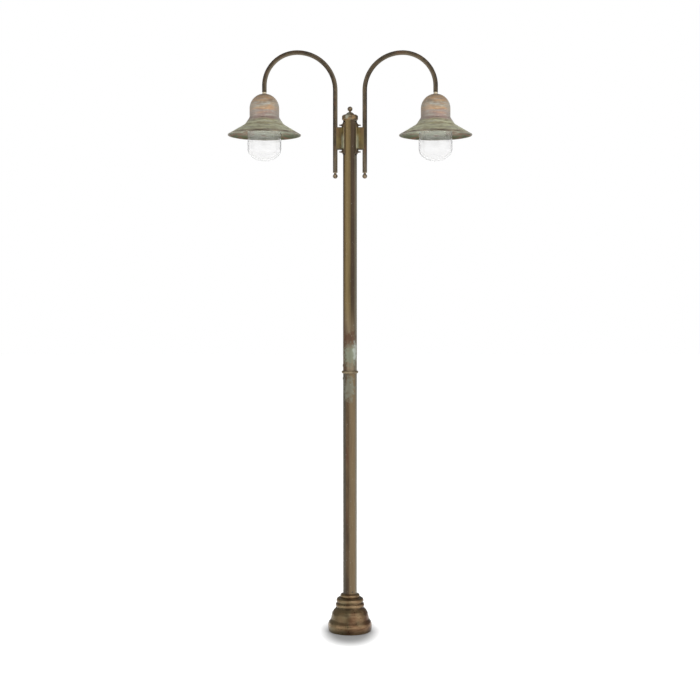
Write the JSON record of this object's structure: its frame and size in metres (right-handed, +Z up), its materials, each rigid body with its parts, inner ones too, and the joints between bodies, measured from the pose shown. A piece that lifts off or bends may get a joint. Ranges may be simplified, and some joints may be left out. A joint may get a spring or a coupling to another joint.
{
  "type": "twin-arm lamp post",
  "caption": "Jointed brass lamp post on a bell-shaped foot, with two swan-neck arms that carry bell shades over screw-in well glasses and bulbs.",
  "frame": {"origin": "on the ground, on the pole's axis", "axes": "+Z up along the pole, the two arms along +X and -X, the front towards -Y"},
  "size_m": [1.059, 0.3168, 2.518],
  "materials": {
    "aged_brass": "aged, satin, with patches of green and red-brown",
    "weathered_copper": "weathered copper, spun, with a green bloom on the flare",
    "pale_brass": "satin",
    "steel": "zinc plated",
    "dark_steel": "blackened",
    "cast_alloy": "as cast",
    "porcelain": "glazed",
    "white_plastic": "matte",
    "black_rubber": "matte",
    "cable_sheath": "matte",
    "clear_glass": "clear, polished",
    "bulb_metal": "satin",
    "filament": "satin"
  },
  "bodies": {
    "post": {"ground_plate": "steel", "earth_stud": "pale_brass", "foot_spigot": "steel", "foot_cover": "aged_brass", "foot_cover_screws": "dark_steel", "pole_grub_screws": "dark_steel", "lower_pole": "aged_brass", "joint_sleeve": "steel", "joint_ring": "aged_brass", "joint_screws": "aged_brass", "upper_pole": "aged_brass", "pole_cap": "aged_brass", "cap_finial": "aged_brass", "terminal_carrier": "steel", "terminal_block": "white_plastic", "post_saddle_left": "aged_brass", "post_saddle_right": "aged_brass", "saddle_screws_left": "aged_brass", "saddle_screws_right": "aged_brass", "arm_bracket_left": "aged_brass", "arm_bracket_right": "aged_brass", "arm_screws_left": "dark_steel", "arm_screws_right": "dark_steel", "arm_tube_left": "aged_brass", "arm_tube_right": "aged_brass", "arm_end_ball_left": "aged_brass", "arm_end_ball_right": "aged_brass", "arm_ferrule_left": "pale_brass", "arm_ferrule_right": "pale_brass", "nipple_left": "steel", "nipple_right": "steel", "lamp_lead_left": "cable_sheath", "lamp_lead_right": "cable_sheath", "shade_left": "weathered_copper", "shade_right": "weathered_copper", "crown_washer_left": "black_rubber", "crown_washer_right": "black_rubber", "lamp_cup_left": "cast_alloy", "lamp_cup_right": "cast_alloy", "cup_nut_left": "steel", "cup_nut_right": "steel", "lampholder_left": "porcelain", "lampholder_right": "porcelain", "holder_contacts_left": "pale_brass", "holder_contacts_right": "pale_brass"},
    "gasket_left": {"glass_gasket_left": "black_rubber"},
    "glass_left": {"well_glass_left": "clear_glass"},
    "contact_left": {"bulb_contact_left": "bulb_metal"},
    "bulb_left": {"bulb_cap_left": "bulb_metal", "bulb_globe_left": "clear_glass", "bulb_filament_left": "filament"},
    "gasket_right": {"glass_gasket_right": "black_rubber"},
    "glass_right": {"well_glass_right": "clear_glass"},
    "contact_right": {"bulb_contact_right": "bulb_metal"},
    "bulb_right": {"bulb_cap_right": "bulb_metal", "bulb_globe_right": "clear_glass", "bulb_filament_right": "filament"}
  },
  "joints": [
    {"name": "glass_drop_left", "type": "slide", "parent": "post", "child": "gasket_left", "axis": [0, 0, -1], "range_m": [0, 0.0101]},
    {"name": "glass_turn_left", "type": "hinge", "parent": "gasket_left", "child": "glass_left", "pos_m": [-0.371, 0, 2.2], "axis": [0, 0, -1], "range_deg": [0, 720]},
    {"name": "bulb_drop_left", "type": "slide", "parent": "post", "child": "contact_left", "axis": [0, 0, -1], "range_m": [0, 0.011]},
    {"name": "bulb_turn_left", "type": "hinge", "parent": "contact_left", "child": "bulb_left", "pos_m": [-0.371, 0, 2.27], "axis": [0, 0, -1], "range_deg": [0, 1080]},
    {"name": "glass_drop_right", "type": "slide", "parent": "post", "child": "gasket_right", "axis": [0, 0, -1], "range_m": [0, 0.0101]},
    {"name": "glass_turn_right", "type": "hinge", "parent": "gasket_right", "child": "glass_right", "pos_m": [0.371, 0, 2.2], "axis": [0, 0, -1], "range_deg": [0, 720]},
    {"name": "bulb_drop_right", "type": "slide", "parent": "post", "child": "contact_right", "axis": [0, 0, -1], "range_m": [0, 0.011]},
    {"name": "bulb_turn_right", "type": "hinge", "parent": "contact_right", "child": "bulb_right", "pos_m": [0.371, 0, 2.27], "axis": [0, 0, -1], "range_deg": [0, 1080]}
  ],
  "couplings": [
    {"joint": "glass_drop_left", "follows": "glass_turn_left", "m_per_rad": 0.00079577},
    {"joint": "bulb_drop_left", "follows": "bulb_turn_left", "m_per_rad": 0.0005777},
    {"joint": "glass_drop_right", "follows": "glass_turn_right", "m_per_rad": 0.00079577},
    {"joint": "bulb_drop_right", "follows": "bulb_turn_right", "m_per_rad": 0.0005777}
  ]
}
